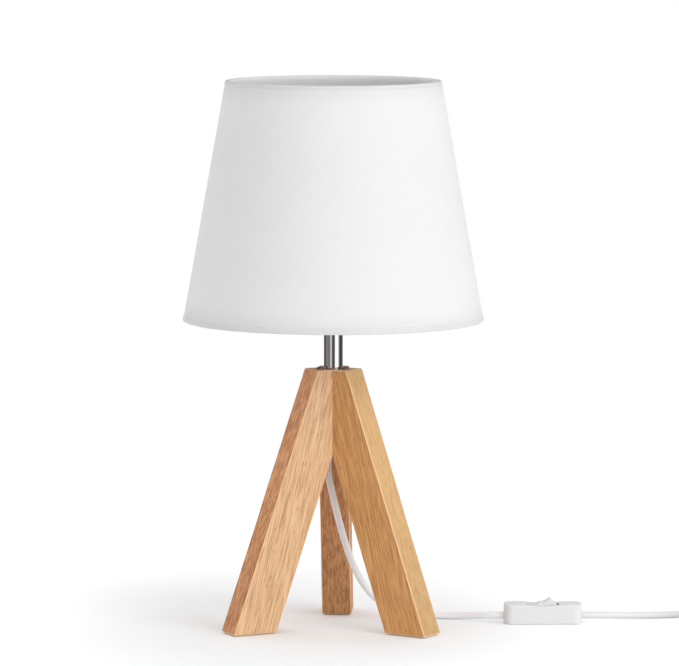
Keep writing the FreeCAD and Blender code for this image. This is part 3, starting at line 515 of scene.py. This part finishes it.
def cloth(name, colour, through, top=(1, 1, 1)):
    """Fine plain weave round the lamp's axis; top is a painted shade on what faces straight up."""
    shader = Shader(name)
    place = shader.node("SeparateXYZ")
    shader.join(shader.node("TexCoord").outputs["Object"], place.inputs[0])
    angle = shader.math("ARCTAN2", place.outputs["Y"], place.outputs["X"])
    waves_round = round(2 * math.pi * weave_radius / weave_pitch)
    waves_up = 2 * math.pi / (weave_pitch * MM)
    warp = shader.math("SINE", shader.math("MULTIPLY", angle, float(waves_round)))
    weft = shader.math("SINE", shader.math("MULTIPLY", place.outputs["Z"], waves_up))
    slub = shader.noise(shader.place(slub_stretch), slub_scale, detail=3.0, roughness=0.6)
    dim = tuple(part * slub_tone for part in colour)
    threads = shader.mix(shader.span(slub, *slub_range), colour, dim)
    # upward faces take the painted shade of top
    upward = shader.span(shader.facing(UP), upward_from, upward_to)
    shader.look(shader.darker(upward, threads, top), Roughness=0.85, Sheen_Weight=0.15,
                Specular_IOR_Level=0.2)
    shader.bump(shader.math("MULTIPLY", warp, weft), weave_depth, weave_strength)
    shader.let_through(colour, through)
    return shader.material


shade_cloth = cloth("shade_fabric", (0.955, 0.955, 0.955), 0.36)
# painted shade: the tapes' upward faces are darker
hem_cloth = cloth("hem_tape", (0.96, 0.96, 0.96), 0.45, top=(0.78, 0.78, 0.78))
lining = plastic("shade_liner", (0.97, 0.97, 0.97), 0.5, grain=400.0, through=0.65)
tie_cloth = plastic("tie_strap", (0.80, 0.80, 0.78), 0.9, grain=1400.0, depth=0.0001, tone=0.1)
paint(tie_cloth, "cord_tie")

# ---- turned pieces ------------------------------------------------------------------------------
round_segments = 240
edge_angle = math.radians(40)
# two radii closer than this are the same surface
same_radius = 0.1


def lathe(name, profile, body="shade", ripple=None, segments=round_segments):
    """A closed profile of (radius, height) turned round the lamp's axis; a ripple shifts its radii."""
    mesh = bmesh.new()
    rings = []
    for step in range(segments):
        angle = 360 * step / segments
        ring = []
        for radius, z in profile:
            shift = ripple(radius, z, angle) if ripple else 0.0
            ring.append(mesh.verts.new(polar((radius + shift) * MM, angle, z * MM)))
        rings.append(ring)
    for one, other in zip(rings, rings[1:] + rings[:1]):
        for k in range(len(profile)):
            after = (k + 1) % len(profile)
            mesh.faces.new((one[k], other[k], other[after], one[after]))
    bmesh.ops.recalc_face_normals(mesh, faces=mesh.faces)
    data = bpy.data.meshes.new(name)
    mesh.to_mesh(data)
    mesh.free()
    data.shade_smooth()
    piece = bpy.data.objects.new(name, data)
    bpy.context.scene.collection.objects.link(piece)
    split = piece.modifiers.new("edges", "EDGE_SPLIT")
    split.split_angle = edge_angle
    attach(piece, body)
    return piece


def steps(low, high, count):
    return [low + (high - low) * k / count for k in range(count + 1)]


# ---- threads of the lampholder and the bulb -----------------------------------------------------
thread_segments = 96


def thread(low, high, pitch, depth, outside):
    """The ripple of a round thread, sunk into the outside between two heights and fading at its ends."""
    def shift(radius, z, angle):
        if radius < outside - same_radius:
            return 0.0
        fade = max(0.0, min(1.0, (z - low) / pitch, (high - z) / pitch))
        return -depth * fade * (0.5 - 0.5 * math.cos(2 * math.pi * (z / pitch - angle / 360)))
    return shift


# the lampholder's threaded body
holder_low = 240.4
cap_top = holder_low + 18.0
shoulder_top = cap_top + 3.0
body_top = cap_top + 37.6
shoulder_radius = 22.6
rim_chamfer = 0.8
body_radius = 19.6
body_bore = 14.7
mouth_chamfer = 1.0
thread_relief = 0.5
relief_top = shoulder_top + 1.6
insert_seat = 16.9
ledge = holder_low + 29.3
body_thread = (shoulder_top + 2.4, body_top - 1.2)
body_thread_rows = 100
threaded_body = lathe("holder_threaded_body", [
    (insert_seat, cap_top), (shoulder_radius - rim_chamfer, cap_top),
    (shoulder_radius, cap_top + rim_chamfer), (shoulder_radius, shoulder_top),
    (body_radius - thread_relief, shoulder_top), (body_radius - thread_relief, relief_top),
    (body_radius, relief_top + thread_relief)] + [
    (body_radius, z) for z in steps(*body_thread, body_thread_rows)] + [
    (body_radius, body_top - mouth_chamfer), (body_radius - mouth_chamfer, body_top),
    (body_bore, body_top), (body_bore, ledge), (insert_seat, ledge)],
    "base", segments=thread_segments,
    ripple=thread(*body_thread, pitch=2.4, depth=0.75, outside=body_radius))
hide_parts("holder_body")

# the bulb's screw cap
bulb_base = 270.8
insulator_low = bulb_base + 3.2
insulator_top = insulator_low + 0.7
shell_start = bulb_base + 6.5
bulb_cap_top = bulb_base + 23.6
insulator_radius = 9.2
bulb_cap_radius = 13.2
bulb_neck_radius = 12.05
cap_thread = (bulb_base + 7.2, bulb_base + 22.0)
cap_thread_rows = 40
threaded_cap = lathe("bulb_threaded_cap", [
    (insulator_radius, insulator_low), (bulb_cap_radius - 1.8, insulator_low + 0.4),
    (bulb_cap_radius, shell_start)] + [
    (bulb_cap_radius, z) for z in steps(*cap_thread, cap_thread_rows)] + [
    (bulb_cap_radius, bulb_cap_top), (bulb_neck_radius, bulb_cap_top),
    (bulb_neck_radius, shell_start), (bulb_neck_radius - 1.2, insulator_top + 0.9),
    (insulator_radius, insulator_top)],
    "bulb", segments=thread_segments,
    ripple=thread(*cap_thread, pitch=3.63, depth=0.9, outside=bulb_cap_radius))
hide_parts("bulb_cap")
paint(holder_plastic, "holder_threaded_body")
paint(aluminium, "bulb_threaded_cap")

# ---- shade --------------------------------------------------------------------------------------
shade_low, shade_high = 225.7, 400.0
shade_low_radius, shade_high_radius = 109.6, 78.6
# the hem tape's thickness
hem_skin = 0.35
fabric_thickness = 0.5
liner_thickness = 0.6
liner_gap = 0.02
wall = fabric_thickness + liner_thickness
# how far the wall's edges stand back from the shade's
wall_inset = 0.4
wall_rows = 28
ring_wire = 1.3
# the fabric's end lies over its start in a strip up the back
lap_angle = 90.0
lap_width = 9.0
lap_rise = 0.3
cone = (shade_low_radius - shade_high_radius) / (shade_high - shade_low)


def fabric_radius(z):
    """Outside of the fabric at a height."""
    return shade_low_radius - hem_skin - (z - shade_low) * cone


def lap(radius, z, angle):
    """The ripple that lifts the fabric's outside in the strip where its ends overlap."""
    past = math.radians(angle - lap_angle) * radius
    outside = radius > fabric_radius(z) - same_radius
    return lap_rise if outside and -lap_width / 2 < past < lap_width / 2 else 0.0


# the wall: the fabric and its liner
wall_low, wall_high = shade_low + wall_inset, shade_high - wall_inset
heights = steps(wall_low, wall_high, wall_rows)


def wall_profile(outer_skin, inner_skin):
    """A layer of the wall between two depths under the fabric's outside."""
    outside = [(fabric_radius(z) - outer_skin, z) for z in heights]
    inside = [(fabric_radius(z) - inner_skin, z) for z in reversed(heights)]
    return outside + inside


cover = lathe("shade_cover", wall_profile(0.0, fabric_thickness), ripple=lap)
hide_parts("shade_fabric")
shade_lining = lathe("shade_lining", wall_profile(fabric_thickness + liner_gap, wall))
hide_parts("shade_liner")

# the hem tapes: how wide their outer bands are, and how far they go in over the wire
low_band, top_band = 4.2, 2.6
hem_lap = 11.0
wire_room = 2 * ring_wire + 0.5


def hem_profile(edge_z, inward, band):
    """A tape folded over the wall's edge and its wire; inward is +1 above the edge, -1 below it."""
    def at(skin, rise):
        z = edge_z + inward * rise
        return (fabric_radius(z) - skin, z)
    inner = wall + wire_room
    outside = [at(-hem_skin + 0.12, band), at(-hem_skin, band - 0.25), at(-hem_skin, 1.0),
               at(-hem_skin + 0.08, 0.6), at(-hem_skin + 0.3, 0.25), at(0.35, 0.05), at(0.9, 0.0)]
    under = [at(inner - 1.3, 0.0), at(inner - 0.7, 0.12), at(inner - 0.25, 0.45), at(inner, 1.1),
             at(inner, hem_lap - 4.0), at(wall + 0.6, hem_lap - 0.8), at(wall + 0.35, hem_lap)]
    return outside + under + [at(wall, hem_lap), at(wall, hem_skin), at(0.0, hem_skin), at(0.0, band)]


low_hem = lathe("shade_low_tape", hem_profile(shade_low, 1, low_band))
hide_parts("shade_low_hem")
top_hem = lathe("shade_top_tape", hem_profile(shade_high, -1, top_band))
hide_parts("shade_top_hem")
paint(shade_cloth, "shade_cover")
paint(hem_cloth, "shade_low_tape", "shade_top_tape")
paint(lining, "shade_lining")

# ---- floor, world, lights -----------------------------------------------------------------------
floor_radius = 0.62
floor_segments = 96
floor_colour = (0.845, 0.853, 0.862, 1.0)
# the floor glows weakly near the lamp, where its rendered shading stays, and strongly farther out, where
# it turns white; the fade's ellipse, offset to the left and stretched front to back, paints the outline
# of the lamp's soft shadow
floor_lift = 0.125
floor_far_lift = 0.6
painted_shadow_middle = Vector((-0.025, 0.0, 0.0))
painted_shadow_stretch = Vector((1.0, 0.55, 1.0))
lift_from, lift_to = 0.07, 0.42
white = (1.0, 1.0, 1.0, 1.0)


def make_floor():
    """A white disc that fades to the white beyond it; a weaker glow round the lamp keeps its rendered
    soft shadow and paints the shadow's outline.
    """
    mesh = bmesh.new()
    bmesh.ops.create_circle(mesh, cap_ends=True, segments=floor_segments, radius=floor_radius)
    data = bpy.data.meshes.new("floor")
    mesh.to_mesh(data)
    mesh.free()
    floor = bpy.data.objects.new("floor", data)
    bpy.context.scene.collection.objects.link(floor)
    shader = Shader("floor")
    shader.look(floor_colour, Roughness=0.9, Specular_IOR_Level=0.0, Emission_Color=white)
    # painted shadow: the glow is weakest in the ellipse round the lamp
    place = shader.node("VectorMath", operation="SUBTRACT")
    shader.join(shader.place(painted_shadow_stretch), place.inputs[0])
    place.inputs[1].default_value = painted_shadow_middle * painted_shadow_stretch
    reach = shader.node("VectorMath", operation="LENGTH")
    shader.join(place.outputs[0], reach.inputs[0])
    lift = shader.span(reach.outputs["Value"], lift_from, lift_to, floor_lift, floor_far_lift)
    paths = shader.node("LightPath").outputs
    seen = shader.math("MAXIMUM", paths["Is Camera Ray"], paths["Is Glossy Ray"])
    seen = shader.math("MAXIMUM", seen, paths["Is Transmission Ray"])
    shader.join(shader.math("MULTIPLY", seen, lift), shader.surface.inputs["Emission Strength"])
    data.materials.append(shader.material)


world_level = 0.81
# the walls that a mirror sees round the studio, by azimuth from the camera's side, + to the right
studio_bands = (
    (-180, 0.12), (-125, 0.07), (-108, 0.09), (-92, 0.20), (-80, 0.20), (-70, 0.16), (-48, 0.17),
    (-38, 0.38), (-31, 0.55), (-21, 0.55), (-16, 0.13), (-10, 0.08), (12, 0.08), (19, 0.35), (23, 0.88),
    (30, 1.0), (56, 1.0), (66, 0.55), (78, 0.18), (90, 0.05), (110, 0.06), (150, 0.10), (180, 0.12))
studio_level = 1.25
# above the walls the studio is evenly light: the walls fade between elevations with these two sines
studio_ceiling = 0.75
ceiling_from, ceiling_to = 0.02, 0.12


def make_world():
    """White to the camera and through glass; to a mirror a light studio with banded walls."""
    world = bpy.data.worlds.new("studio")
    bpy.context.scene.world = world
    studio = Tree(world)
    way = studio.node("SeparateXYZ")
    studio.join(studio.node("TexCoord").outputs["Generated"], way.inputs[0])
    ahead = studio.math("MULTIPLY", way.outputs["Y"], -1.0)
    azimuth = studio.math("ARCTAN2", way.outputs["X"], ahead)
    turns = studio.math("DIVIDE", azimuth, 2 * math.pi)
    bands = studio.node("FloatCurve")
    curve = bands.mapping.curves[0]
    for spot, (angle, level) in zip((0, 1), (studio_bands[0], studio_bands[-1])):
        curve.points[spot].location = (angle / 360 + 0.5, level)
    for angle, level in studio_bands[1:-1]:
        curve.points.new(angle / 360 + 0.5, level)
    bands.mapping.update()
    studio.join(studio.math("ADD", turns, 0.5 - camera_azimuth / 360), bands.inputs["Value"])
    walls = studio.math("MULTIPLY", bands.outputs[0], studio_level)
    upward = studio.span(way.outputs["Z"], ceiling_from, ceiling_to)
    reflected = studio.choose(upward, walls, studio_ceiling)
    paths = studio.node("LightPath").outputs
    level = studio.choose(paths["Is Glossy Ray"], world_level, reflected)
    seen = studio.math("MAXIMUM", paths["Is Camera Ray"], paths["Is Transmission Ray"])
    background = studio.tree.nodes["Background"].inputs
    background["Color"].default_value = white
    studio.put(background["Strength"], studio.choose(seen, level, 1.0))


light_target = Vector((0, 0, 0.2))


def make_light(name, azimuth, distance, height, width, tall, power):
    """A soft box that faces the lamp."""
    data = bpy.data.lights.new(name, "AREA")
    data.shape = "RECTANGLE"
    data.size, data.size_y = width, tall
    data.energy = power
    light = bpy.data.objects.new(name, data)
    bpy.context.scene.collection.objects.link(light)
    light.location = around(azimuth, distance, height)
    light.rotation_euler = (light_target - light.location).to_track_quat("-Z", "Y").to_euler()


make_floor()
make_world()
make_light("key", azimuth=42, distance=2.4, height=1.0, width=1.5, tall=2.0, power=28)
make_light("back_left", azimuth=-122, distance=2.4, height=0.9, width=0.8, tall=1.6, power=7)

bpy.context.scene.view_settings.view_transform = "Standard"
